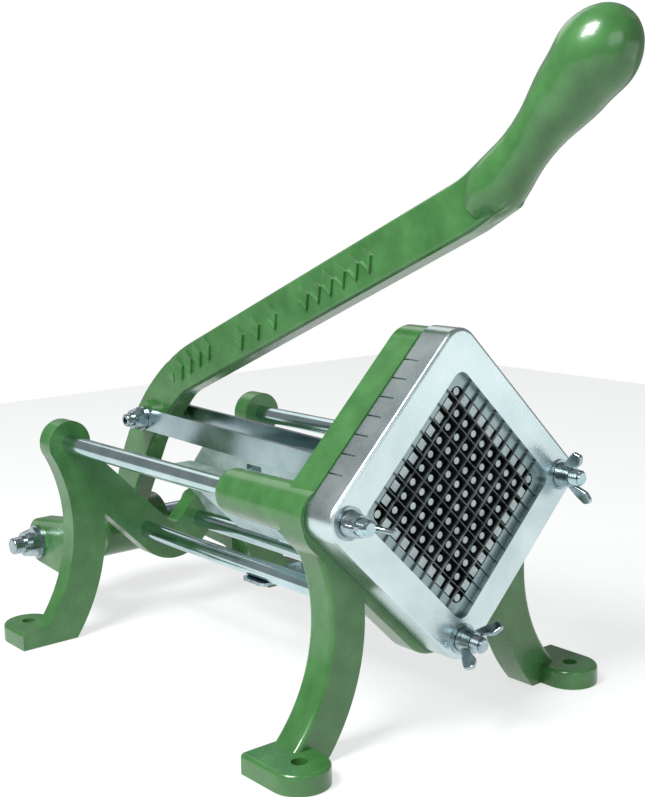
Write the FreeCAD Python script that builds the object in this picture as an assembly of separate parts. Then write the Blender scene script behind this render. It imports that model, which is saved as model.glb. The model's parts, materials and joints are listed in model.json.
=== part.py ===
import FreeCAD, Part
import math
import os

# Lever-operated potato and vegetable dicer. Millimetres, +Z up, the blade head faces -Y.
# Origin: on the counter, at the middle of the four foot holes.

# --- overall sizes -------------------------------------------------------------------------
HEAD_Z = 137.0            # height of the cutting axis above the counter
HOLE_SPAN_X = 214.0       # foot holes, left to right
HOLE_SPAN_Y = 304.0       # foot holes, front to back
FRONT_LEG_X = HOLE_SPAN_X / 2 + 62.0   # centre of the front leg's two arcs
REAR_LEG_X = HOLE_SPAN_X / 2 + 83.0    # centre of the rear leg's two arcs
FOOT_HOLE_D = 9.0
FOOT_T = 11.6             # foot thickness
FOOT_W = 34.0             # foot width
BODY_GAP = 0.3            # gap between pieces that move apart
RUN_FIT = 0.06            # radial clearance of a running fit
FIT = 0.05                # radial clearance of a fixed round fit

# --- blade head ----------------------------------------------------------------------------
COVER_SIDE = 140.0
COVER_DEPTH = 21.0
COVER_R = 14.0
COVER_Y = -165.0          # front face of the blade head
BLADE_COUNT = 9
PITCH = 9.3               # cutting pitch
OPENING_SIDE = (BLADE_COUNT + 1) * PITCH - 3.6   # cutting opening
MOUTH_SIDE = OPENING_SIDE + 12.6                 # square recess at the front face
LEDGE_DEPTH = 3.8         # its floor, a ledge that the blades are let into
KERF_COUNT = 7            # saw kerfs in two side faces of the blade head
KERF_PITCH = 12.8
KERF_W = 1.0
KERF_LEN = 11.0
BLADE_T = 0.7
BLADE_DEPTH = 12.0
BLADE_SETBACK = 1.9       # cutting edges behind the front face
BLADE_END = 0.5           # gap between a blade's end and the wall of the recess

WING_HUB_R = 7.4
WING_T = 2.8

# --- frames --------------------------------------------------------------------------------
FLANGE_Y = -143.7
FLANGE_T = 20.2
FLANGE_TOP = 100.0        # half diagonal of the upper sides
FLANGE_LOW = 106.0        # half diagonal of the lower sides
WINDOW_SIDE = OPENING_SIDE + 7.6   # window the pusher passes through
BOSS_END_Y = -62.0
BOSS_R = 14.6
BOSS_TIP_R = 13.2
REAR_Y = 127.0
REAR_T = 14.0
LOBE_R = 15.5
NOTCH = 72.0              # V notch of the rear frame, half width at the axis height
BAND = 110.0              # outer side of the V band

# --- rods and studs ------------------------------------------------------------------------
ROD_X = 81.2
ROD_D = 12.0
LOW_ROD_X = 22.5
LOW_ROD_Z = HEAD_Z - 70.8
THREAD_D = 9.5            # reduced threaded ends
STUD_OUT = 17.0           # thread standing out of the blade head
LOW_STUD_Z = HEAD_Z - 81.0

# --- lever and links -----------------------------------------------------------------------
PIVOT_Y = 197.0
PIVOT_Z = HEAD_Z - 84.0
PIVOT_D = 12.0
CRANK_Y = 140.0           # link bolt, at rest
CRANK_Z = HEAD_Z + 7.5
CRANK_D = 9.0
PIN_Y = -93.0             # front cross pin, at rest
PIN_Z = HEAD_Z + 1.5
PIN_D = 8.0
LEVER_T = 16.0
GRIP_TILT = 46.1          # grip axis from the vertical, towards the front
GRIP_Y = -201.5           # foot of the grip's waist, on its axis
GRIP_Z = HEAD_Z + 177.5
GRIP_R = 20.5
GRIP_END = 98.9           # rounded end, from the foot of the waist
LINK_T = 3.0
LINK_H = 15.9
LINK_X = 13.0             # inner face of each link
HUB_R = 21.0
HUB_HALF = 27.0
EAR_OUT = 74.0            # outer face of each pivot ear
EAR_T = 15.0

# --- pusher --------------------------------------------------------------------------------
BLOCK_SIDE = OPENING_SIDE - 1.4    # passes through the cutting opening
BLOCK_T = 10.0
BLOCK_Y = -141.0          # front face of the pusher block
PEG_TIP_Y = COVER_Y + 3.9
PEG_R = (PITCH - BLADE_T) / 2 - 0.8     # foot of each round peg
PEG_TIP_R = PEG_R - 1.55
EDGE_PEG = PEG_R - 0.9             # half width of the square pegs along the edges
CHEEK_IN = 9.3
CHEEK_T = 3.5

V = FreeCAD.Vector


# --- small helpers -------------------------------------------------------------------------
def outline(points, place):
    """Closed wire through (a, b, corner radius) points, with real arcs at the corners."""
    count = len(points)
    starts = []
    arcs = []
    for i in range(count):
        a, b, r = points[i]
        pa, pb, _ = points[i - 1]
        na, nb, _ = points[(i + 1) % count]
        if r == 0:
            starts.append(((a, b), (a, b)))
            arcs.append(None)
            continue
        ua, ub = pa - a, pb - b
        va, vb = na - a, nb - b
        lu, lv = math.hypot(ua, ub), math.hypot(va, vb)
        ua, ub, va, vb = ua / lu, ub / lu, va / lv, vb / lv
        half = math.acos(max(-1.0, min(1.0, ua * va + ub * vb))) / 2.0
        cut = r / math.tan(half)
        ma, mb = ua + va, ub + vb
        lm = math.hypot(ma, mb)
        reach = r / math.sin(half) - r
        starts.append(((a + ua * cut, b + ub * cut), (a + va * cut, b + vb * cut)))
        arcs.append((a + ma / lm * reach, b + mb / lm * reach))
    edges = []
    for i in range(count):
        first, last = starts[i]
        if arcs[i] is not None:
            edges.append(Part.Arc(place(*first), place(*arcs[i]), place(*last)).toShape())
        following = starts[(i + 1) % count][0]
        if math.hypot(following[0] - last[0], following[1] - last[1]) > 1e-6:
            edges.append(Part.makeLine(place(*last), place(*following)))
    return Part.Wire(edges)


def slab_y(points, y0, y1):
    """Outline in X and Z, thick along Y."""
    face = Part.Face(outline(points, lambda a, b: V(a, y0, b)))
    return face.extrude(V(0, y1 - y0, 0))


def slab_x(points, x0, x1):
    """Outline in Y and Z, thick along X."""
    face = Part.Face(outline(points, lambda a, b: V(x0, a, b)))
    return face.extrude(V(x1 - x0, 0, 0))


def slab_z(points, z0, z1):
    """Outline in X and Y, thick along Z."""
    face = Part.Face(outline(points, lambda a, b: V(a, b, z0)))
    return face.extrude(V(0, 0, z1 - z0))


def block(x0, x1, y0, y1, z0, z1):
    return Part.makeBox(x1 - x0, y1 - y0, z1 - z0, V(x0, y0, z0))


def rod_y(x, z, r, y0, y1):
    return Part.makeCylinder(r, y1 - y0, V(x, y0, z), V(0, 1, 0))


def rod_x(y, z, r, x0, x1):
    return Part.makeCylinder(r, x1 - x0, V(x0, y, z), V(1, 0, 0))


def rod_z(x, y, r, z0, z1):
    return Part.makeCylinder(r, z1 - z0, V(x, y, z0), V(0, 0, 1))


def square(side, r, y0, y1):
    """Square bar along Y with rounded corners, standing on one corner."""
    h = side / 2.0
    bar = slab_y([(-h, -h, r), (h, -h, r), (h, h, r), (-h, h, r)], y0, y1)
    bar.rotate(V(0, 0, 0), V(0, 1, 0), 45)
    bar.translate(V(0, 0, HEAD_Z))
    return bar


def fuse(shapes):
    whole = shapes[0].fuse(shapes[1:])
    return whole.removeSplitter()


def mirrored(shape):
    return shape.mirror(V(0, 0, 0), V(1, 0, 0))


def hexagon_y(x, z, flats, y0, y1, turn=0.0):
    r = flats / math.sqrt(3.0)
    pts = []
    for i in range(6):
        a = math.radians(60 * i + turn)
        pts.append((x + r * math.cos(a), z + r * math.sin(a), 0))
    return slab_y(pts, y0, y1)


def hexagon_x(y, z, flats, x0, x1, turn=0.0):
    r = flats / math.sqrt(3.0)
    pts = []
    for i in range(6):
        a = math.radians(60 * i + turn)
        pts.append((y + r * math.cos(a), z + r * math.sin(a), 0))
    return slab_x(pts, x0, x1)


def soften(shape, radius, keep):
    """Fillet the edges whose middle passes the test."""
    edges = [e for e in shape.Edges if keep(e)]
    return shape.makeFillet(radius, edges)


def save(node, shape):
    shape.exportStep("parts/" + node + ".step")


def group(solids):
    return Part.makeCompound(solids)


# --- castings ------------------------------------------------------------------------------

def leg(centre_x, centre_z, r_out, r_in, y0, y1):
    """Bowed right-hand leg: a band between two arcs, from the frame down to its foot."""
    ring = rod_y(centre_x, centre_z, r_in, y0, y1).cut(rod_y(centre_x, centre_z, r_out, y0, y1))
    return ring.common(block(40, 112, y0, y1, 0, centre_z + 50))


def foot(hole_x, hole_y, y_frame):
    """Round-ended foot that runs from the leg out past its bolt hole."""
    h = FOOT_W / 2.0
    y0, y1 = min(hole_y, y_frame), max(hole_y, y_frame)
    pad = rod_z(hole_x, hole_y, h, 0, FOOT_T).fuse(block(hole_x - h, hole_x + h, y0, y1, 0, FOOT_T))
    pad = pad.removeSplitter()
    return soften(pad, 2.5, lambda e: e.BoundBox.ZMin > FOOT_T - 0.1 and abs(e.BoundBox.YMax - y_frame) > 0.1
                  or e.BoundBox.ZMin > FOOT_T - 0.1 and e.BoundBox.YLength > 1)


def front_frame():
    """Diamond flange with two long rod bosses, two bowed legs and their feet."""
    y0, y1 = FLANGE_Y, FLANGE_Y + FLANGE_T
    t, b = FLANGE_TOP, FLANGE_LOW
    side = (t + b) / 2.0
    drop = (b - t) / 2.0
    ring = slab_y([(-side, HEAD_Z - drop, 20), (0, HEAD_Z - b, 25), (side, HEAD_Z - drop, 20),
                   (0, HEAD_Z + t, 19)], y0, y1)
    parts = [ring]
    for s in (-1, 1):
        boss = Part.makeCone(BOSS_R, BOSS_TIP_R, BOSS_END_Y - y0, V(s * ROD_X, y0, HEAD_Z), V(0, 1, 0))
        parts.append(soften(boss, 4.0, lambda e: e.BoundBox.YMin > BOSS_END_Y - 1))
    right_leg = leg(FRONT_LEG_X, HEAD_Z - 60.0, 93.0, 116.0, y0, y1)
    parts += [right_leg, mirrored(right_leg)]
    for s in (-1, 1):
        parts.append(foot(s * HOLE_SPAN_X / 2, -HOLE_SPAN_Y / 2, y1))
    body = fuse(parts)
    body = soften(body, 3.0, lambda e: is_leg_edge(e, y0, y1))
    body = body.cut(square(WINDOW_SIDE, 7.0, y0 - 1, y1 + 1))
    holes = []
    for s in (-1, 1):
        holes.append(rod_y(s * ROD_X, HEAD_Z, ROD_D / 2 + FIT, y0 + 6, BOSS_END_Y + 1))
        holes.append(rod_y(s * ROD_X, HEAD_Z, THREAD_D / 2 + FIT, y0 - 1, y0 + 6.5))
        holes.append(rod_y(s * LOW_ROD_X, LOW_ROD_Z, ROD_D / 2 + FIT, y0 + 5, y1 + 1))
        holes.append(rod_z(s * HOLE_SPAN_X / 2, -HOLE_SPAN_Y / 2, FOOT_HOLE_D / 2, -1, FOOT_T + 1))
    holes.append(rod_y(0, LOW_STUD_Z, THREAD_D / 2 + FIT, y0 - 1, y0 + 15))
    return body.cut(holes)


def is_leg_edge(e, y0, y1):
    """Long outer edges of the legs and the flange, on the two flat faces."""
    box = e.BoundBox
    flat = box.YLength < 0.01 and (abs(box.YMin - y0) < 0.01 or abs(box.YMin - y1) < 0.01)
    return flat and e.Length > 30 and box.ZMin > FOOT_T - 1 and box.ZMax < HEAD_Z - 12


def rear_frame():
    """V-notched web with four rod seats, two bowed legs, feet and the lever's pivot ears."""
    y0, y1 = REAR_Y, REAR_Y + REAR_T
    n, b = NOTCH, BAND
    band = slab_y([(-n + 2, HEAD_Z - 2, 0), (0, HEAD_Z - n, 6), (n - 2, HEAD_Z - 2, 0),
                   (n + 14, HEAD_Z - 16, 0), (56, HEAD_Z - 54, 8), (0, HEAD_Z - b, 34),
                   (-56, HEAD_Z - 54, 8), (-n - 14, HEAD_Z - 16, 0)], y0, y1)
    parts = [band]
    for s in (-1, 1):
        parts.append(rod_y(s * ROD_X, HEAD_Z, LOBE_R, y0, y1))
    right_leg = leg(REAR_LEG_X, HEAD_Z - 58.0, 108.0, 133.0, y0, y1)
    parts += [right_leg, mirrored(right_leg)]
    for s in (-1, 1):
        parts.append(foot(s * HOLE_SPAN_X / 2, HOLE_SPAN_Y / 2, y0))
    body = fuse(parts)
    ears = []
    for s in (-1, 1):
        ears.append(pivot_ear(s))
    body = fuse([body] + ears)
    holes = []
    for s in (-1, 1):
        holes.append(rod_y(s * ROD_X, HEAD_Z, THREAD_D / 2 + FIT, y0 - 1, y1 + 1))
        holes.append(rod_y(s * ROD_X, HEAD_Z, ROD_D / 2 + FIT, y0 - 1, y0 + 5))
        holes.append(rod_y(s * LOW_ROD_X, LOW_ROD_Z, THREAD_D / 2 + FIT, y0 - 1, y1 + 1))
        holes.append(rod_y(s * LOW_ROD_X, LOW_ROD_Z, ROD_D / 2 + FIT, y0 - 1, y0 + 5))
        holes.append(rod_z(s * HOLE_SPAN_X / 2, HOLE_SPAN_Y / 2, FOOT_HOLE_D / 2, -1, FOOT_T + 1))
    holes.append(rod_x(PIVOT_Y, PIVOT_Z, PIVOT_D / 2 + FIT, -EAR_OUT - 1, EAR_OUT + 1))
    return body.cut(holes)


def pivot_ear(s):
    """Tapered ear behind the leg, rounded about the lever's pivot bolt."""
    y1 = REAR_Y + REAR_T
    z = PIVOT_Z
    ear = slab_x([(y1 - 0.5, z + 30, 0), (y1 + 8, z + 24, 12), (PIVOT_Y + 15, z + 15, 14.9),
                  (PIVOT_Y + 15, z - 15, 14.9), (y1 + 8, z - 20, 12), (y1 - 0.5, z - 30, 0)],
                 EAR_OUT - EAR_T, EAR_OUT)
    ear = soften(ear, 2.0, lambda e: e.BoundBox.XLength < 0.01 and e.BoundBox.YMin > y1 + 2)
    return ear if s > 0 else mirrored(ear)


# --- rods and their hardware ---------------------------------------------------------------
def upper_rod(s):
    """Round guide rod; both ends are turned down and threaded."""
    x = s * ROD_X
    shank = rod_y(x, HEAD_Z, ROD_D / 2, FLANGE_Y + 6.5, REAR_Y + 5)
    front = rod_y(x, HEAD_Z, THREAD_D / 2, COVER_Y - STUD_OUT, FLANGE_Y + 6.5)
    rear = rod_y(x, HEAD_Z, THREAD_D / 2, REAR_Y + 5, REAR_Y + REAR_T + 11)
    rod = shank.fuse([front, rear])
    return soften(rod, 0.8, lambda e: e.BoundBox.YMax < COVER_Y or e.BoundBox.YMin > REAR_Y + REAR_T)


def lower_rod(s):
    x = s * LOW_ROD_X
    shank = rod_y(x, LOW_ROD_Z, ROD_D / 2, FLANGE_Y + 5.0, REAR_Y + 5)
    rear = rod_y(x, LOW_ROD_Z, THREAD_D / 2, REAR_Y + 5, REAR_Y + REAR_T + 11)
    rod = shank.fuse(rear)
    return soften(rod, 0.8, lambda e: e.BoundBox.YMin > REAR_Y + REAR_T + 5)


def low_stud():
    stud = rod_y(0, LOW_STUD_Z, THREAD_D / 2, COVER_Y - STUD_OUT, FLANGE_Y + 14.5)
    return soften(stud, 0.8, lambda e: e.BoundBox.YMax < COVER_Y)


def washer_y(x, z, bore_r, r, y0, y1):
    return rod_y(x, z, r, y0, y1).cut(rod_y(x, z, bore_r, y0 - 1, y1 + 1))


def washer_x(y, z, bore_r, r, x0, x1):
    return rod_x(y, z, r, x0, x1).cut(rod_x(y, z, bore_r, x0 - 1, x1 + 1))


def rear_washers():
    y = REAR_Y + REAR_T
    bore = THREAD_D / 2 + FIT
    pieces = []
    for s in (-1, 1):
        pieces.append(washer_y(s * ROD_X, HEAD_Z, bore, 9.5, y, y + 1.6))
        pieces.append(washer_y(s * LOW_ROD_X, LOW_ROD_Z, bore, 9.5, y, y + 1.6))
    return group(pieces)


def rear_nuts():
    y = REAR_Y + REAR_T + 1.6
    pieces = []
    for s in (-1, 1):
        for x, z in ((s * ROD_X, HEAD_Z), (s * LOW_ROD_X, LOW_ROD_Z)):
            nut = hexagon_y(x, z, 14.3, y, y + 7.0)
            crown = Part.makeCone(8.3, 7.0, 7.0, V(x, y, z), V(0, 1, 0))
            nut = nut.common(crown)
            pieces.append(nut.cut(rod_y(x, z, THREAD_D / 2 + FIT, y - 1, y + 8)))
    return group(pieces)


def rod_tie():
    """Flat strap under the two lower rods that keeps them at their spacing."""
    top = LOW_ROD_Z - ROD_D / 2
    h = LOW_ROD_X + 7.0
    strap = slab_z([(-h, -19, 4), (h, -19, 4), (h, 5, 4), (-h, 5, 4)], top - 2.0, top)
    holes = [rod_z(s * LOW_ROD_X, -7, 2.2, top - 3, top + 1) for s in (-1, 1)]
    return strap.cut(holes)


def tie_screws():
    top = LOW_ROD_Z - ROD_D / 2 - 2.0
    pieces = []
    for s in (-1, 1):
        head = Part.makeCone(3.2, 4.2, 2.4, V(s * LOW_ROD_X, -7, top - 2.4))
        shank = rod_z(s * LOW_ROD_X, -7, 2.1, top, top + 2.0)
        slot = block(s * LOW_ROD_X - 5, s * LOW_ROD_X + 5, -7.5, -6.5, top - 3, top - 1.4)
        pieces.append(head.fuse(shank).cut(slot))
    return group(pieces)


# --- blade head ----------------------------------------------------------------------------
def blade_positions():
    return [(i - (BLADE_COUNT - 1) / 2.0) * PITCH for i in range(BLADE_COUNT)]


def turned(shape):
    """Stand a piece drawn square about the axis onto its corner."""
    shape.rotate(V(0, 0, 0), V(0, 1, 0), 45)
    shape.translate(V(0, 0, HEAD_Z))
    return shape


def cover_square(side, r, y0, y1):
    h = side / 2.0
    return slab_y([(-h, -h, r), (h, -h, r), (h, h, r), (-h, h, r)], y0, y1)


def blade_cover():
    """Cast frame that carries the blades: square recess, slotted ledge, kerfs, three stud holes."""
    y0 = COVER_Y
    y1 = COVER_Y + COVER_DEPTH
    body = cover_square(COVER_SIDE, COVER_R, y0, y1)
    body = soften(body, 2.2, lambda e: abs(e.BoundBox.YMin - y0) < 0.01 and e.BoundBox.YLength < 0.01)
    mouth = cover_square(MOUTH_SIDE, 7.0, y0 - 1, y0 + LEDGE_DEPTH)
    body = body.cut([mouth, cover_square(OPENING_SIDE, 5.0, y0 - 1, y1 + 1)])
    body = body.cut(cover_square(MOUTH_SIDE + 6.0, 6.0, y1 - 5.0, y1 + 1))
    cuts = []
    h = MOUTH_SIDE / 2.0 - BLADE_END + 0.2
    w = BLADE_T / 2.0 + 0.15
    for p in blade_positions():
        cuts.append(block(-h, h, y0 + BLADE_SETBACK, y1 - 4.9, p - w, p + w))
        cuts.append(block(p - w, p + w, y0 + BLADE_SETBACK, y1 - 4.9, -h, h))
    for i in range(KERF_COUNT):
        k = (i - (KERF_COUNT - 1) / 2.0) * KERF_PITCH
        for s in (-1, 1):
            x0, x1 = sorted((s * (COVER_SIDE / 2 - 2.5), s * (COVER_SIDE / 2 + 1)))
            cuts.append(block(x0, x1, y1 - KERF_LEN, y1 + 1, k - KERF_W / 2, k + KERF_W / 2))
    body = turned(body.cut(cuts))
    holes = [rod_y(0, LOW_STUD_Z, THREAD_D / 2 + 0.5, y0 - 1, y1 + 1)]
    for s in (-1, 1):
        holes.append(rod_y(s * ROD_X, HEAD_Z, THREAD_D / 2 + 0.5, y0 - 1, y1 + 1))
    return body.cut(holes)


def blade_strips(upright):
    """One set of thin strips; the two sets are halved into each other."""
    y0 = COVER_Y + BLADE_SETBACK + 0.05
    y1 = y0 + BLADE_DEPTH
    mid = (y0 + y1) / 2.0
    h = MOUTH_SIDE / 2.0 - BLADE_END
    gap = BLADE_T / 2.0 + 0.1
    t = BLADE_T / 2.0
    edge = slab_x([(y0, -t * 0.2, 0), (y0 + 1.6, -t, 0), (y1, -t, 0), (y1, t, 0), (y0 + 1.6, t, 0),
                   (y0, t * 0.2, 0)], -h, h)
    slots = []
    for p in blade_positions():
        if upright:
            slots.append(block(p - gap, p + gap, mid - 0.05, y1 + 1, -1, 1))
        else:
            slots.append(block(p - gap, p + gap, y0 - 1, mid + 0.05, -1, 1))
    strip = edge.cut(slots)
    pieces = []
    for p in blade_positions():
        one = strip.copy()
        one.translate(V(0, 0, p))
        if upright:
            one.rotate(V(0, 0, 0), V(0, 1, 0), 90)
        pieces.append(turned(one))
    return group(pieces)


# which way the wings of each nut point: left, right and lower nut
WING_TURN = {"left": -75.0, "right": -18.0, "low": 53.0}


def stud_place(name):
    return {"left": (-ROD_X, HEAD_Z), "right": (ROD_X, HEAD_Z), "low": (0.0, LOW_STUD_Z)}[name]


def wing_nut(name):
    """Pressed wing nut: conical hub with two swept ears."""
    x, z = stud_place(name)
    y_back = COVER_Y - 1.6
    hub = Part.makeCone(WING_HUB_R, WING_HUB_R - 1.4, 8.5, V(0, y_back, 0), V(0, -1, 0))
    wing = slab_x([(y_back - 1.5, 5.0, 0), (y_back - 8.0, 12.5, 4), (y_back - 13.0, 17.0, 2.2),
                   (y_back - 19.0, 15.0, 2.2), (y_back - 16.5, 9.0, 3), (y_back - 8.4, 5.4, 0)],
                  -WING_T / 2, WING_T / 2)
    wing = soften(wing, 0.9, lambda e: e.BoundBox.XLength < 0.01 and e.BoundBox.ZMax > 12)
    other = wing.copy()
    other.rotate(V(0, 0, 0), V(0, 1, 0), 180)
    nut = fuse([hub, wing, other])
    nut = nut.cut(rod_y(0, 0, THREAD_D / 2 + RUN_FIT, y_back - 20, y_back + 1))
    nut.rotate(V(0, 0, 0), V(0, 1, 0), WING_TURN[name])
    nut.translate(V(x, 0, z))
    return nut


def head_washers():
    pieces = []
    for name in ("left", "right", "low"):
        x, z = stud_place(name)
        pieces.append(washer_y(x, z, THREAD_D / 2 + 0.3, 9.0, COVER_Y - 1.3, COVER_Y))
    return group(pieces)


# --- pusher --------------------------------------------------------------------------------
def pusher_block():
    """Square block with one peg for each cell of the blade grid."""
    y0, y1 = BLOCK_Y, BLOCK_Y + BLOCK_T
    body = cover_square(BLOCK_SIDE, 6.0, y0, y1)
    parts = [body]
    n = BLADE_COUNT + 1
    reach = y0 + 0.5 - PEG_TIP_Y
    for i in range(n):
        for k in range(n):
            a = (i - (n - 1) / 2.0) * PITCH
            b = (k - (n - 1) / 2.0) * PITCH
            on_edge = i in (0, n - 1) or k in (0, n - 1)
            if i in (0, n - 1) and k in (0, n - 1):
                parts.append(Part.makeCone(PEG_R - 0.7, PEG_R - 1.3, reach,
                                           V(a * 0.985, y0 + 0.5, b * 0.985), V(0, -1, 0)))
            elif on_edge:
                h = EDGE_PEG
                parts.append(block(a * 0.99 - h, a * 0.99 + h, PEG_TIP_Y, y0 + 0.5,
                                   b * 0.99 - h, b * 0.99 + h))
            else:
                parts.append(Part.makeCone(PEG_R, PEG_TIP_R, reach, V(a, y0 + 0.5, b), V(0, -1, 0)))
    whole = turned(fuse(parts))
    holes = []
    for a, b in screw_spots():
        holes.append(rod_y(a, b, 2.5 + FIT, y0 + 3, y1 + 1))
    return whole.cut(holes)


def screw_spots():
    """Four screws that hold the pusher block on its carriage."""
    d = 27.0
    return [(d, HEAD_Z), (-d, HEAD_Z), (0, HEAD_Z + d), (0, HEAD_Z - d)]


def carriage():
    """Cast slide: back plate, two cheeks for the links, and two guide wings along the rods."""
    y0 = BLOCK_Y + BLOCK_T
    plate = square(74.0, 6.0, y0, y0 + 7.0)
    cheek_out = CHEEK_IN + CHEEK_T
    z = HEAD_Z
    cheek = slab_x([(y0 + 3, z - 48, 0), (y0 + 3, z + 32, 6), (-72, z + 32, 8), (-56, z + 5, 8),
                    (50, z - 1, 6), (68, z - 3, 0), (92, z - 28, 3), (84, z - 36, 0), (75, z - 40, 6),
                    (66, z - 48, 3)], CHEEK_IN, cheek_out)
    slot = slab_x([(PIN_Y - 7, z - 5, 3), (PIN_Y + 7, z - 5, 3), (PIN_Y + 7, z + 26, 3),
                   (PIN_Y - 7, z + 26, 3)], CHEEK_IN - 1, cheek_out + 1)
    vent = slab_x([(2.0, z - 12, 1), (18.0, z - 12, 1), (18.0, z - 7.5, 1), (2.0, z - 7.5, 1)],
                  CHEEK_IN - 1, cheek_out + 1)
    cheek = cheek.cut([slot, vent])
    wing = slab_y([(cheek_out - 1, z - 44, 0), (31, z - 44, 4), (74, z - 1, 0), (74, z + 3, 0),
                   (66, z + 1, 3), (30, z - 39.5, 4), (cheek_out - 1, z - 39.5, 0)], -52, 3)
    shoe = block(66, ROD_X - 2.5, -52, 3, z - 5, z + 5)
    rib = slab_z([(cheek_out - 1, -118, 0), (34, -118, 8), (32, -40, 0), (cheek_out - 1, -40, 0)],
                 z - 44, z - 39.5)
    parts = [plate]
    for part in (cheek, wing, shoe, rib):
        parts += [part, mirrored(part)]
    bridge = block(-CHEEK_IN - 1, CHEEK_IN + 1, -60, 40, z - 48, z - 43)
    parts.append(bridge)
    body = fuse(parts)
    cuts = []
    for s in (-1, 1):
        cuts.append(rod_y(s * ROD_X, z, ROD_D / 2 + RUN_FIT + 0.02, -54, 5))
    for a, b in screw_spots():
        cuts.append(rod_y(a, b, 2.5 + FIT, y0 - 1, y0 + 8))
    return body.cut(cuts)


def block_screws():
    y = BLOCK_Y + BLOCK_T + 7.0
    pieces = []
    for a, b in screw_spots():
        head = rod_y(a, b, 4.2, y, y + 4.0)
        head = soften(head, 0.6, lambda e: e.BoundBox.YMin > y + 3.9)
        shank = rod_y(a, b, 2.5, y - 13.0, y + 0.5)
        socket = hexagon_y(a, b, 4.0, y + 1.6, y + 5)
        pieces.append(head.fuse(shank).cut(socket))
    return group(pieces)


# --- lever and links -----------------------------------------------------------------------
def lever_bar():
    """Flat bar of the cast lever, from the pivot hub up through the bend into the grip's neck."""
    z = HEAD_Z
    return slab_x([(-194, z + 188, 0), (-171.5, z + 172.3, 60), (152.5, z + 38.8, 190), (215, z - 86, 0),
                   (197, z - 101, 0), (180, z - 74, 0), (141, z - 9, 60), (101, z + 28, 45),
                   (-178.6, z + 144.5, 60), (-203.0, z + 157.3, 5), (-208.0, z + 168, 0)],
                  -LEVER_T / 2, LEVER_T / 2)


def grip():
    """Pear-shaped handgrip: a flared neck, a waist and a full round end on one tilted axis."""
    neck = [(-30.0, 11.0), (-20.0, 14.6), (-9.0, 15.4), (3.0, 13.9), (15.0, 13.1), (31.0, 14.3),
            (51.0, 17.9)]
    rings = neck[:]
    for d in (62.0, 74.0, 84.0, 91.5, 96.0, 98.2):
        rings.append((d, GRIP_R * math.sqrt(1.0 - ((d - 72.0) / (GRIP_END - 72.0)) ** 2)))
    wires = [Part.Wire(Part.makeCircle(r, V(0, 0, d))) for d, r in rings]
    pear = Part.makeLoft(wires, True)
    pear.rotate(V(0, 0, 0), V(1, 0, 0), GRIP_TILT)
    pear.translate(V(0, GRIP_Y, GRIP_Z))
    return pear


def lever():
    """Cast lever in one piece: pivot hub, link boss, flat bar and grip."""
    bar = lever_bar()
    bar = soften(bar, 2.5, lambda e: e.BoundBox.XLength < 0.01 and e.Length > 60)
    hub = rod_x(PIVOT_Y, PIVOT_Z, HUB_R, -HUB_HALF, HUB_HALF)
    hub = soften(hub, 2.0, lambda e: e.BoundBox.XLength < 0.01)
    boss = rod_x(CRANK_Y, CRANK_Z, 12.0, -LINK_X + BODY_GAP, LINK_X - BODY_GAP)
    whole = fuse([bar, grip(), hub, boss])
    whole = whole.cut(rod_x(PIVOT_Y, PIVOT_Z, PIVOT_D / 2 + RUN_FIT, -40, 40))
    return whole.cut(rod_x(CRANK_Y, CRANK_Z, CRANK_D / 2 + FIT, -40, 40))


def link(s):
    """Flat link bar with round ends."""
    length = math.hypot(CRANK_Y - PIN_Y, CRANK_Z - PIN_Z)
    h = LINK_H / 2
    bar = slab_x([(-h, -h, h - 0.01), (length + h, -h, h - 0.01), (length + h, h, h - 0.01),
                  (-h, h, h - 0.01)], LINK_X, LINK_X + LINK_T)
    bar = bar.cut([rod_x(0, 0, PIN_D / 2 + FIT, LINK_X - 1, LINK_X + 9),
                   rod_x(length, 0, CRANK_D / 2 + RUN_FIT, LINK_X - 1, LINK_X + 9)])
    slope = math.degrees(math.asin((CRANK_Z - PIN_Z) / length))
    bar.rotate(V(0, 0, 0), V(1, 0, 0), slope)
    bar.translate(V(0, PIN_Y, PIN_Z))
    return bar if s > 0 else mirrored(bar)


def cross_pin():
    """Headed pin that joins the front ends of both links through the cheeks' slots."""
    out = LINK_X + LINK_T
    pin = rod_x(PIN_Y, PIN_Z, PIN_D / 2, -out - 3, out + 3)
    heads = [rod_x(PIN_Y, PIN_Z, 6.0, out, out + 3), rod_x(PIN_Y, PIN_Z, 6.0, -out - 3, -out)]
    return soften(pin.fuse(heads), 0.8, lambda e: abs(e.BoundBox.XMin) > out + 2.9
                  and e.BoundBox.XLength < 0.01 and e.Length > 20)


def crank_bolt():
    """Link bolt through the lever: hex head on the right, thread standing out on the left."""
    out = LINK_X + LINK_T + BODY_GAP + 1.5
    shank = rod_x(CRANK_Y, CRANK_Z, CRANK_D / 2, -out - 12, out)
    head = hexagon_x(CRANK_Y, CRANK_Z, 14.0, out, out + 6)
    crown = Part.makeCone(8.2, 6.4, 6.0, V(out, CRANK_Y, CRANK_Z), V(1, 0, 0))
    bolt = shank.fuse(head.common(crown))
    bolt = soften(bolt, 0.9, lambda e: e.BoundBox.XMax < -out - 11.9)
    return bolt.cut(hexagon_x(CRANK_Y, CRANK_Z, 5.0, -out - 13, -out - 8))


def crank_washers():
    inner = LINK_X + LINK_T + BODY_GAP
    bore = CRANK_D / 2 + FIT
    return group([washer_x(CRANK_Y, CRANK_Z, bore, 8.6, inner, inner + 1.5),
                  washer_x(CRANK_Y, CRANK_Z, bore, 8.6, -inner - 1.5, -inner)])


def crank_nut():
    out = LINK_X + LINK_T + BODY_GAP + 1.5
    nut = hexagon_x(CRANK_Y, CRANK_Z, 14.0, -out - 7, -out, 30.0)
    crown = Part.makeCone(8.2, 6.6, 7.0, V(-out, CRANK_Y, CRANK_Z), V(-1, 0, 0))
    return nut.common(crown).cut(rod_x(CRANK_Y, CRANK_Z, CRANK_D / 2 + FIT, -out - 9, -out + 1))


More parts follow.
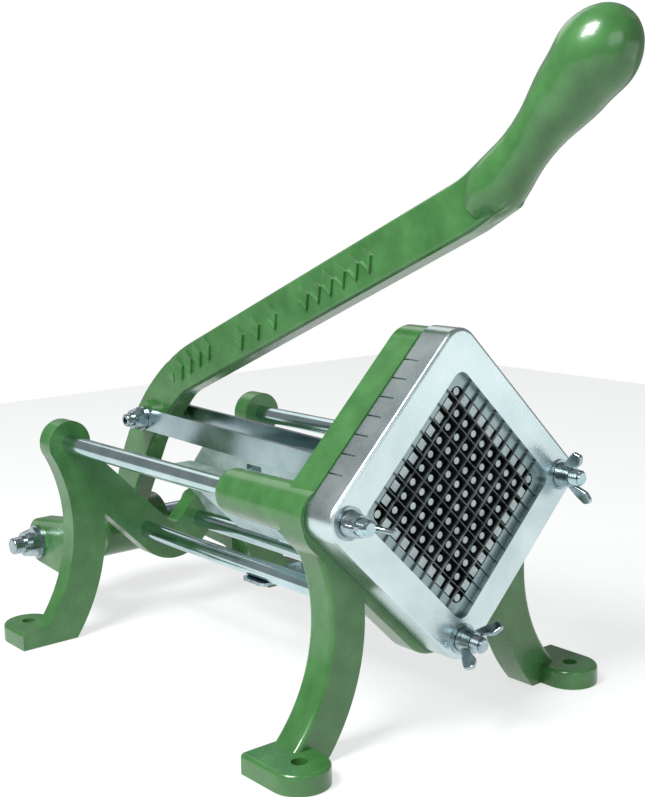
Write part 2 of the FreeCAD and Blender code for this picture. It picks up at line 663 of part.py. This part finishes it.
# --- pivot hardware ------------------------------------------------------------------------
def pivot_bolt():
    out = EAR_OUT + 2.0
    shank = rod_x(PIVOT_Y, PIVOT_Z, PIVOT_D / 2, -out - 19, out)
    head = hexagon_x(PIVOT_Y, PIVOT_Z, 19.0, out, out + 8)
    crown = Part.makeCone(11.0, 9.0, 8.0, V(out, PIVOT_Y, PIVOT_Z), V(1, 0, 0))
    bolt = shank.fuse(head.common(crown))
    return soften(bolt, 1.2, lambda e: e.BoundBox.XMax < -out - 18.9)


def pivot_washers():
    bore = PIVOT_D / 2 + FIT
    return group([washer_x(PIVOT_Y, PIVOT_Z, bore, 12.0, EAR_OUT, EAR_OUT + 2),
                  washer_x(PIVOT_Y, PIVOT_Z, bore, 12.0, -EAR_OUT - 2, -EAR_OUT)])


def pivot_nut():
    out = EAR_OUT + 2.0
    nut = hexagon_x(PIVOT_Y, PIVOT_Z, 19.0, -out - 10, -out, 12.0)
    crown = Part.makeCone(11.0, 8.6, 10.0, V(-out, PIVOT_Y, PIVOT_Z), V(-1, 0, 0))
    return nut.common(crown).cut(rod_x(PIVOT_Y, PIVOT_Z, PIVOT_D / 2 + FIT, -out - 12, -out + 1))


def pivot_spacer(s):
    x0, x1 = sorted((s * (HUB_HALF + BODY_GAP), s * (EAR_OUT - EAR_T)))
    return washer_x(PIVOT_Y, PIVOT_Z, PIVOT_D / 2 + FIT, 9.5, x0, x1)


# --- write every piece ---------------------------------------------------------------------
os.makedirs("parts", exist_ok=True)
save("front_frame", front_frame())
save("rear_frame", rear_frame())
save("upper_rod_left", upper_rod(-1))
save("upper_rod_right", upper_rod(1))
save("lower_rod_left", lower_rod(-1))
save("lower_rod_right", lower_rod(1))
save("low_stud", low_stud())
save("rear_washers", rear_washers())
save("rear_nuts", rear_nuts())
save("rod_tie", rod_tie())
save("tie_screws", tie_screws())
save("blade_cover", blade_cover())
save("blades_across", blade_strips(False))
save("blades_upright", blade_strips(True))
save("head_washers", head_washers())
save("wing_nut_left", wing_nut("left"))
save("wing_nut_right", wing_nut("right"))
save("wing_nut_low", wing_nut("low"))
save("pusher_block", pusher_block())
save("carriage", carriage())
save("block_screws", block_screws())
save("lever", lever())
save("link_left", link(-1))
save("link_right", link(1))
save("cross_pin", cross_pin())
save("crank_bolt", crank_bolt())
save("crank_washers", crank_washers())
save("crank_nut", crank_nut())
save("pivot_bolt", pivot_bolt())
save("pivot_washers", pivot_washers())
save("pivot_nut", pivot_nut())
save("pivot_spacer_left", pivot_spacer(-1))
save("pivot_spacer_right", pivot_spacer(1))
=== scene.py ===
"""Lever-operated vegetable dicer: enamelled castings, chromed guide rods and a diamond-set
blade head."""

import json
import math

import bpy
from mathutils import Matrix, Vector


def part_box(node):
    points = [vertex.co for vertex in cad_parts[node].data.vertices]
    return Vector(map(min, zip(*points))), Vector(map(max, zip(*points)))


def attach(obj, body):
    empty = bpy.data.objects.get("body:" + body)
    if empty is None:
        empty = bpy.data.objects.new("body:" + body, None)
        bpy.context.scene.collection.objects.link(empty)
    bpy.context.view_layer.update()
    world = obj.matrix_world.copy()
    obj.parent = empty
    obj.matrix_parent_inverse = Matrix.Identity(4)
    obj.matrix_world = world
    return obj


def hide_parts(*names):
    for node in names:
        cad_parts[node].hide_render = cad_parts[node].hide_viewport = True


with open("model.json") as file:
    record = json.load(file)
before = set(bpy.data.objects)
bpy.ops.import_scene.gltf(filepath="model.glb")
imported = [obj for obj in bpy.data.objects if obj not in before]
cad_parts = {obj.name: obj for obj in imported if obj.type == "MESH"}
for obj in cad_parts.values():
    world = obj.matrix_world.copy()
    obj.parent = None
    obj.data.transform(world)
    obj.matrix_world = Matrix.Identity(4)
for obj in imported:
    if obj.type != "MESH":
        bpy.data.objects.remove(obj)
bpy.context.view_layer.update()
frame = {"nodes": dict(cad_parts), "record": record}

NODES = frame["nodes"]
MM = 0.001


# --- materials -----------------------------------------------------------------------------
NOISE = "ShaderNodeTexNoise"
MATH = "ShaderNodeMath"
RANGE = "ShaderNodeMapRange"
LUMP_MM = 14             # the sand's soft lumps under the enamel
SPECK_MM = 1.8           # the enamel's own fine unevenness
MIX_A, MIX_B, MIX_RESULT = 6, 7, 2   # a Mix node's colour sockets, which share names with others


def linear(hex_colour):
    """An sRGB hex colour as the linear RGBA that a shader wants."""
    parts = [int(hex_colour[i : i + 2], 16) / 255 for i in (1, 3, 5)]
    return [c / 12.92 if c <= 0.04045 else ((c + 0.055) / 1.055) ** 2.4 for c in parts] + [1.0]


def add(tree, kind, settings=None, inputs=None, stops=()):
    """Adds a node with its settings, its inputs (values, or sockets that feed them) and its
    colour stops (position, hex colour)."""
    made = tree.nodes.new(kind)
    for name, value in (settings or {}).items():
        setattr(made, name, value)
    for name, value in (inputs or {}).items():
        if isinstance(value, bpy.types.NodeSocket):
            tree.links.new(value, made.inputs[name])
        else:
            made.inputs[name].default_value = value
    while stops and len(made.color_ramp.elements) < len(stops):
        made.color_ramp.elements.new(0.5)
    for index, (position, colour) in enumerate(stops):
        made.color_ramp.elements[index].position = position
        made.color_ramp.elements[index].color = linear(colour)
    return made


def start(name):
    """A new material, its tree, its shader and its coordinates in metres."""
    material = bpy.data.materials.new(name)
    material.use_nodes = True
    tree = material.node_tree
    shader = tree.nodes["Principled BSDF"]
    place = add(tree, "ShaderNodeTexCoord").outputs["Object"]
    return material, tree, shader, place


def gloss_enamel():
    """Gloss enamel sprayed over sand-cast iron: a wet-looking green coat over the sand's soft
    lumps, a little darker where it lies thick."""
    material, tree, shader, place = start("gloss_enamel_on_cast_iron")
    lumps = add(tree, NOISE, inputs={"Vector": place, "Scale": 1000 / LUMP_MM, "Detail": 3.0,
                                     "Roughness": 0.5})
    grain = add(tree, NOISE, inputs={"Vector": place, "Scale": 1000 / SPECK_MM, "Detail": 2.0,
                                     "Roughness": 0.5})
    colour = add(tree, "ShaderNodeValToRGB", inputs={"Fac": lumps.outputs["Fac"]},
                 stops=[(0.3, "#2E5F2C"), (0.52, "#376835"), (0.75, "#40733E")])
    rough = add(tree, RANGE, inputs={"Value": grain.outputs["Fac"], "To Min": 0.2, "To Max": 0.34})
    low = add(tree, "ShaderNodeBump", inputs={"Height": lumps.outputs["Fac"], "Strength": 0.2,
                                              "Distance": 0.7 * MM})
    fine = add(tree, "ShaderNodeBump", inputs={"Height": grain.outputs["Fac"], "Strength": 0.2,
                                               "Distance": 0.12 * MM,
                                               "Normal": low.outputs["Normal"]})
    tree.links.new(colour.outputs["Color"], shader.inputs["Base Color"])
    tree.links.new(rough.outputs["Result"], shader.inputs["Roughness"])
    tree.links.new(fine.outputs["Normal"], shader.inputs["Normal"])
    shader.inputs["IOR"].default_value = 1.5
    shader.inputs["Coat Weight"].default_value = 0.3
    shader.inputs["Coat Roughness"].default_value = 0.08
    return material


def metal(name, dark, light, rough, cloud_mm, grain_mm, along, bump_mm):
    """A bare metal: clouds of tone from dark to light, a grain stretched by the factors in along,
    and a faint relief. rough is its least and greatest roughness."""
    material, tree, shader, place = start(name)
    cloud = add(tree, NOISE, inputs={"Vector": place, "Scale": 1000 / cloud_mm, "Detail": 3.0,
                                     "Roughness": 0.5})
    stretch = add(tree, "ShaderNodeMapping", inputs={"Vector": place, "Scale": along})
    grain = add(tree, NOISE, inputs={"Vector": stretch.outputs["Vector"], "Scale": 1000 / grain_mm,
                                     "Detail": 3.0, "Roughness": 0.6})
    colour = add(tree, "ShaderNodeValToRGB", inputs={"Fac": cloud.outputs["Fac"]},
                 stops=[(0.3, dark), (0.7, light)])
    mixed = add(tree, MATH, {"operation": "ADD"},
                {0: cloud.outputs["Fac"], 1: grain.outputs["Fac"]})
    spread = add(tree, RANGE, inputs={"Value": mixed.outputs["Value"], "From Min": 0.7,
                                      "From Max": 1.3, "To Min": rough[0], "To Max": rough[1]})
    relief = add(tree, "ShaderNodeBump", inputs={"Height": grain.outputs["Fac"], "Strength": 0.35,
                                                 "Distance": bump_mm * MM})
    tree.links.new(colour.outputs["Color"], shader.inputs["Base Color"])
    tree.links.new(spread.outputs["Result"], shader.inputs["Roughness"])
    tree.links.new(relief.outputs["Normal"], shader.inputs["Normal"])
    shader.inputs["Metallic"].default_value = 1.0
    return material


ENAMEL = gloss_enamel()
# die-cast aluminium, rumbled and polished: pale and cool, soft reflections, faint clouds
POLISHED_CAST = metal("polished_die_cast_aluminium", "#BFCFD1", "#D5E2E3",
                      rough=(0.24, 0.34), cloud_mm=30, grain_mm=0.9,
                      along=(1, 1, 1), bump_mm=0.008)
# die-cast aluminium as it left the mould: the same metal, duller and grainier
PLAIN_CAST = metal("plain_die_cast_aluminium", "#B2CACD", "#CFE0E1",
                   rough=(0.3, 0.46), cloud_mm=9, grain_mm=0.7,
                   along=(1, 1, 1), bump_mm=0.04)
# the pusher's pegs: rubbed greyer and rougher than the head by use, and darker with painted shade,
# deep between the blades
WORN_SHADED_CAST = metal("worn_and_shaded_die_cast_aluminium", "#97A3A4", "#B9C4C4",
                  rough=(0.36, 0.5), cloud_mm=5, grain_mm=0.5,
                  along=(1, 1, 1), bump_mm=0.04)
# hard chrome on ground bar: near-mirror, with the faintest lengthwise draw lines
CHROME = metal("chromed_ground_bar", "#AEC8CC", "#C6DADD",
               rough=(0.12, 0.2), cloud_mm=18, grain_mm=1.2,
               along=(6, 0.25, 6), bump_mm=0.01)
# cold-rolled flat bar, nickel plated: dark sheen with lengthwise grain
FLAT_STEEL = metal("plated_cold_rolled_steel", "#93A8AE", "#B4C6CA",
                   rough=(0.14, 0.26), cloud_mm=22, grain_mm=0.8,
                   along=(4, 0.1, 4), bump_mm=0.015)
# hardened blade strip, ground: greyer, fine cross grain
BLADE_STEEL = metal("ground_blade_strip", "#8D9798", "#B7C0C0",
                    rough=(0.22, 0.34), cloud_mm=12, grain_mm=0.5,
                    along=(1, 4, 1), bump_mm=0.01)
# bright zinc plate on turned and pressed parts: bluish, small uneven highlights
ZINC = metal("bright_zinc_plate", "#8FA0A6", "#B5C4C9",
             rough=(0.14, 0.28), cloud_mm=5, grain_mm=0.6,
             along=(1, 1, 1), bump_mm=0.02)

MOUTH_REACH = 72.4 * MM   # from the head's centre to a corner of the square mouth
SHADE_FROM = 0.2 * MM      # how far behind the front face the painted shade starts
SHADE_BY = 3.5 * MM        # and where it is full


def paint_recess_shade(material):
    """Painted shade in the mouth of the blade head: inside that square, behind the front face,
    the base colour is blended towards a dark grey, as shade falls in the recess."""
    tree = material.node_tree
    shader = tree.nodes["Principled BSDF"]
    low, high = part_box("blade_cover")
    place = add(tree, "ShaderNodeTexCoord").outputs["Object"]
    apart = add(tree, "ShaderNodeSeparateXYZ", inputs={"Vector": place}).outputs
    across = add(tree, MATH, {"operation": "ABSOLUTE"}, {0: apart["X"]})
    raised = add(tree, MATH, {"operation": "SUBTRACT"}, {0: apart["Z"], 1: (low.z + high.z) / 2})
    upright = add(tree, MATH, {"operation": "ABSOLUTE"}, {0: raised.outputs["Value"]})
    reach = add(tree, MATH, {"operation": "ADD"},
                {0: across.outputs["Value"], 1: upright.outputs["Value"]})
    inside = add(tree, MATH, {"operation": "LESS_THAN"},
                 {0: reach.outputs["Value"], 1: MOUTH_REACH})
    deep = add(tree, RANGE, inputs={"Value": apart["Y"], "From Min": low.y + SHADE_FROM,
                                    "From Max": low.y + SHADE_BY})
    shade_mask = add(tree, MATH, {"operation": "MULTIPLY"},
               {0: inside.outputs["Value"], 1: deep.outputs["Result"]})
    bright = shader.inputs["Base Color"].links[0].from_socket
    shade = add(tree, "ShaderNodeMix", {"data_type": "RGBA"}, {0: shade_mask.outputs["Value"]})
    tree.links.new(bright, shade.inputs[MIX_A])
    # the dark grey of the painted shade in the recess
    shade.inputs[MIX_B].default_value = linear("#8D9D9F")
    tree.links.new(shade.outputs[MIX_RESULT], shader.inputs["Base Color"])


# paints shade into the blade head's mouth
paint_recess_shade(POLISHED_CAST)

FINISH = {
    "green_enamel": ENAMEL,
    "cast_aluminium": PLAIN_CAST,
    "rod_chrome": CHROME,
    "link_steel": FLAT_STEEL,
    "blade_steel": BLADE_STEEL,
    "zinc": ZINC,
}


def paint(node, material):
    """Gives a CAD node its finish."""
    made = NODES[node]
    if not made.material_slots:
        made.data.materials.append(material)
    for slot in made.material_slots:
        slot.material = material


for part in frame["record"]["subparts"]:
    paint(part["node"], FINISH[part["material_slot"]])
paint("blade_cover", POLISHED_CAST)
paint("pusher_block", WORN_SHADED_CAST)


# --- modelling helpers ---------------------------------------------------------------------
SMOOTH_BELOW = math.radians(32)
SAME_PLACE = 1e-6
ROUND_SIDES = 40
THREAD_STEPS = 20        # round one turn of a thread
THREAD_WIDTH = 0.56      # the triangle's radius along the bar, as a share of the pitch
ALONG = {"X": Vector((1, 0, 0)), "Y": Vector((0, 1, 0))}


def clear():
    bpy.ops.object.select_all(action="DESELECT")


def finish_piece(name, material, body):
    """Names the active piece, puts its place into its mesh, merges its doubles, turns its faces
    outwards, and sets what it rides on."""
    piece = bpy.context.view_layer.objects.active
    bpy.ops.object.transform_apply(location=True, rotation=True, scale=True)
    bpy.ops.object.mode_set(mode="EDIT")
    bpy.ops.mesh.select_all(action="SELECT")
    bpy.ops.mesh.remove_doubles(threshold=SAME_PLACE)
    bpy.ops.mesh.normals_make_consistent(inside=False)
    bpy.ops.object.mode_set(mode="OBJECT")
    bpy.ops.object.shade_smooth_by_angle(angle=SMOOTH_BELOW)
    piece.name = name
    piece.data.name = name
    piece.data.materials.clear()
    piece.data.materials.append(material)
    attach(piece, body)
    return piece


def lathe(stations, centre):
    """A round bar along Y: a disc pushed out and resized from one (place, radius) to the next."""
    clear()
    along = ALONG["Y"]
    place, radius = stations[0]
    bpy.ops.mesh.primitive_circle_add(vertices=ROUND_SIDES, radius=radius, fill_type="NGON",
                                      rotation=(-math.pi / 2, 0, 0),
                                      location=centre + along * place)
    bpy.ops.object.mode_set(mode="EDIT")
    for following, wider in stations[1:]:
        step = {"value": along * (following - place)}
        bpy.ops.mesh.extrude_region_move(TRANSFORM_OT_translate=step)
        size = wider / radius
        bpy.ops.transform.resize(value=(size, size, size),
                                 center_override=centre + along * following)
        place, radius = following, wider
    bpy.ops.object.mode_set(mode="OBJECT")
    return bpy.context.view_layer.objects.active


def thread(axis, low, high, crest, depth, pitch, centre):
    """A helical ridge whose foot is buried in the bar: a triangle carried round by a screw. Its
    two ends, in or against the bar, are left open."""
    clear()
    along = ALONG[axis]
    side = Vector((0, 0, 1))
    bpy.ops.mesh.primitive_circle_add(vertices=3, radius=depth, fill_type="NGON",
                                      location=(0, 0, 0))
    ridge = bpy.context.view_layer.objects.active
    # the triangle stands in the plane of the axis, its point outwards
    out = crest - depth
    turn = Matrix((along, side, along.cross(side))).transposed().to_4x4()
    ridge.matrix_world = Matrix.Translation(side * out) @ turn
    bpy.ops.object.transform_apply(location=True, rotation=True, scale=True)
    bpy.ops.object.mode_set(mode="EDIT")
    bpy.ops.transform.resize(
        value=tuple(1 + (pitch * THREAD_WIDTH / depth - 1) * abs(a) for a in along),
        center_override=(0, 0, out))
    bpy.ops.object.mode_set(mode="OBJECT")
    screw = ridge.modifiers.new("thread", "SCREW")
    screw.axis = axis
    screw.screw_offset = pitch
    screw.iterations = int((high - low) / pitch)
    screw.steps = THREAD_STEPS
    screw.render_steps = THREAD_STEPS
    screw.use_normal_calculate = True
    bpy.ops.object.modifier_apply(modifier="thread")
    ridge.location = centre + along * (low + pitch / 2)
    bpy.ops.object.transform_apply(location=True, rotation=False, scale=False)
    return ridge


def join(pieces):
    clear()
    for piece in pieces:
        piece.select_set(True)
    bpy.context.view_layer.objects.active = pieces[0]
    bpy.ops.object.join()
    return bpy.context.view_layer.objects.active


# --- guide rods and studs with cut threads ---------------------------------------------------
PITCH = 1.5875 * MM      # 16 threads to the inch
CREST = 4.75 * MM
ROOT = 3.95 * MM
RIDGE = 0.6 * MM
CHAMFER = 0.7 * MM
SHANK = 6.0 * MM
EASE = 0.4 * MM          # the plain end's broken edge
BOLT_RIDGE = 0.45        # the radius of a bolt thread's triangle, as a share of its pitch
FLANGE_HOLD = 6.8 * MM   # how far behind the head's back the upper rods' front threads end
NUT_HOLD = 9 * MM        # how far in front of the rear washers the rear threads begin


def rod_centre(node):
    low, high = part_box(node)
    return Vector(((low.x + high.x) / 2, 0, (low.z + high.z) / 2)), low.y, high.y


def threaded_rod(node, finish, shank_from, shank_to):
    """A round bar turned down and threaded in front of shank_from and behind shank_to."""
    centre, front, back = rod_centre(node)
    stations = [(front, SHANK - EASE), (front + EASE, SHANK)]
    ridges = []
    if shank_from > front:
        stations = [(front, ROOT - CHAMFER), (front + CHAMFER, ROOT), (shank_from, ROOT)]
        ridges.append((front + CHAMFER, shank_from))
        if shank_from < shank_to:
            stations.append((shank_from, SHANK))
    if shank_to < back:
        stations += [(shank_to, SHANK), (shank_to, ROOT),
                     (back - CHAMFER, ROOT), (back, ROOT - CHAMFER)]
        ridges.append((shank_to, back - CHAMFER))
    made = [lathe(stations, centre)]
    for low, high in ridges:
        made.append(thread("Y", low, high, CREST, RIDGE, PITCH, centre))
    join(made)
    piece = finish_piece(node + "_threaded", finish, "frame")
    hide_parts(node)


def bolt_thread(name, node, body, low, high, crest, pitch):
    """The cut thread that stands out of a nut, along X, round a bolt's end. The node is one that
    shares the bolt's axis."""
    box_low, box_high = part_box(node)
    centre = Vector((0, (box_low.y + box_high.y) / 2, (box_low.z + box_high.z) / 2))
    thread("X", low, high, crest, BOLT_RIDGE * pitch, pitch, centre)
    finish_piece(name, ZINC, body)


# --- raised lozenges on the lever --------------------------------------------------------------
LEVER_HALF = 8 * MM
PROUD = 1.9 * MM
SUNK = 1.5 * MM
LOZENGE_WIDE = 10.5 * MM
LOZENGE_TALL = 17 * MM
RIM = 1.7 * MM
DISH = 1.2 * MM
EDGE = 0.35 * MM
ROWS = [  # each row: first and last centre on the lever's side, and how many
    ((0.111, 0.178), (0.066, 0.2005), 5),
    ((0.028, 0.2105), (-0.008, 0.2265), 3),
    ((-0.040, 0.2405), (-0.098, 0.2655), 6),
]


def lozenge(side, y, z, lean):
    """One plain raised diamond with a narrow rim round a dished middle."""
    clear()
    bpy.ops.mesh.primitive_cylinder_add(vertices=4, radius=1, depth=1)
    piece = bpy.context.view_layer.objects.active
    piece.dimensions = (LOZENGE_WIDE, LOZENGE_TALL, PROUD + SUNK)
    bpy.ops.object.transform_apply(location=False, rotation=False, scale=True)
    for face in piece.data.polygons:  # the top face alone
        face.select = face.center.z > 0.4 * (PROUD + SUNK)
    bpy.ops.object.mode_set(mode="EDIT")
    bpy.ops.mesh.select_mode(type="FACE")
    bpy.ops.mesh.inset(thickness=RIM, depth=-DISH)
    bpy.ops.mesh.select_all(action="SELECT")
    bpy.ops.mesh.bevel(offset=EDGE, segments=2, profile=0.6)
    bpy.ops.object.mode_set(mode="OBJECT")
    upright = Matrix(((0, 0, side, 0), (1, 0, 0, 0), (0, 1, 0, 0), (0, 0, 0, 1)))
    centre = Vector((side * (LEVER_HALF + (PROUD - SUNK) / 2), y, z))
    piece.matrix_world = Matrix.Translation(centre) @ Matrix.Rotation(lean, 4, "X") @ upright
    bpy.ops.object.transform_apply(location=True, rotation=True, scale=True)
    return piece


def lever_relief(side, name):
    """All the lozenges of one side of the lever, as one piece."""
    made = []
    for (y0, z0), (y1, z1), count in ROWS:
        lean = math.atan2(z1 - z0, y1 - y0) + math.pi
        for i in range(count):
            t = i / (count - 1)
            made.append(lozenge(side, y0 + (y1 - y0) * t, z0 + (z1 - z0) * t, lean))
    join(made)
    finish_piece(name, ENAMEL, "lever")


front_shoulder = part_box("blade_cover")[1].y + FLANGE_HOLD
rear_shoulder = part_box("rear_washers")[0].y - NUT_HOLD
stud_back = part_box("low_stud")[1].y
for node in ("upper_rod_left", "upper_rod_right"):
    threaded_rod(node, CHROME, front_shoulder, rear_shoulder)
for node in ("lower_rod_left", "lower_rod_right"):
    threaded_rod(node, CHROME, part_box(node)[0].y, rear_shoulder)
threaded_rod("low_stud", ZINC, stud_back, stud_back)
pivot_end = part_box("pivot_bolt")[0].x
crank_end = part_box("crank_bolt")[0].x
bolt_thread("pivot_bolt_thread", "pivot_washers", "frame", low=pivot_end + 1.2 * MM,
            high=pivot_end + 9 * MM, crest=6.2 * MM, pitch=1.75 * MM)
bolt_thread("crank_bolt_thread", "crank_washers", "lever", low=crank_end + 1 * MM,
            high=crank_end + 5 * MM, crest=4.65 * MM, pitch=1.25 * MM)
lever_relief(-1, "lever_relief_left")
lever_relief(1, "lever_relief_right")


# --- camera, lights, floor ---------------------------------------------------------------------
CAMERA_PLACE = (-0.5033, -0.6655, 0.3098)
CAMERA_TURN = (-39.08, 9.37, -1.2)   # azimuth, elevation and roll, in degrees
SENSOR = 36
LENS = 59.74
ROOM_GLOW = 0.28         # the light the white background gives, against 1 where it is seen
FLOOR_SIDE = 2.2
FLOOR_DROP = 0.0005      # keeps the floor clear of the feet
LIGHTS = [  # name, place, what it faces, width and height, watts, colour
    ("key", (-0.95, -0.2, 1.2), (0, -0.1, 0.15), (0.6, 0.6), 34, "#FFFFFF"),
    ("fill", (-0.2, -0.85, 0.45), (0, -0.15, 0.12), (0.4, 0.3), 0.9, "#F4FAFF"),
    ("bounce", (0.6, -0.95, 0.1), (0, -0.16, 0.14), (0.9, 0.5), 1.4, "#F8FFFF"),
    ("back", (0.5, 1.3, 1.3), (0, 0, 0.2), (1.2, 0.8), 3, "#FFFFFF"),
]


def camera():
    data = bpy.data.cameras.new("camera")
    data.sensor_width = SENSOR
    data.lens = LENS
    made = bpy.data.objects.new("camera", data)
    bpy.context.scene.collection.objects.link(made)
    azimuth, elevation, roll = map(math.radians, CAMERA_TURN)
    turn = (Matrix.Rotation(azimuth, 4, "Z") @ Matrix.Rotation(math.pi / 2 - elevation, 4, "X")
            @ Matrix.Rotation(roll, 4, "Z"))
    made.matrix_world = Matrix.Translation(CAMERA_PLACE) @ turn
    bpy.context.scene.camera = made


def soft_light(name, place, target, size, power, colour):
    data = bpy.data.lights.new(name, "AREA")
    data.shape = "RECTANGLE"
    data.size, data.size_y = size
    data.energy = power
    data.color = linear(colour)[:3]
    made = bpy.data.objects.new(name, data)
    bpy.context.scene.collection.objects.link(made)
    made.location = place
    made.rotation_euler = (Vector(target) - Vector(place)).to_track_quat("-Z", "Y").to_euler()


def studio():
    """A white room: the background is plain white, and the light it gives is dimmer, so that
    the polished metal has some grey to reflect."""
    world = bpy.data.worlds.new("studio")
    world.use_nodes = True
    bpy.context.scene.world = world
    tree = world.node_tree
    seen = add(tree, "ShaderNodeLightPath").outputs["Is Camera Ray"]
    strength = add(tree, RANGE, inputs={"Value": seen, "To Min": ROOM_GLOW, "To Max": 1.0})
    tree.nodes["Background"].inputs["Color"].default_value = linear("#FFFFFF")
    tree.links.new(strength.outputs["Result"], tree.nodes["Background"].inputs["Strength"])
    for light in LIGHTS:
        soft_light(*light)
    clear()
    bpy.ops.mesh.primitive_plane_add(size=FLOOR_SIDE, location=(0, 0, -FLOOR_DROP))
    floor = bpy.context.view_layer.objects.active
    floor.name = "floor"
    material, _, shader, _ = start("white_paper_sweep")
    shader.inputs["Base Color"].default_value = linear("#8E9292")
    shader.inputs["Roughness"].default_value = 0.9
    shader.inputs["Emission Color"].default_value = linear("#FFFFFF")
    shader.inputs["Emission Strength"].default_value = 0.68
    floor.data.materials.append(material)
    bpy.context.scene.view_settings.view_transform = "Standard"


camera()
studio()
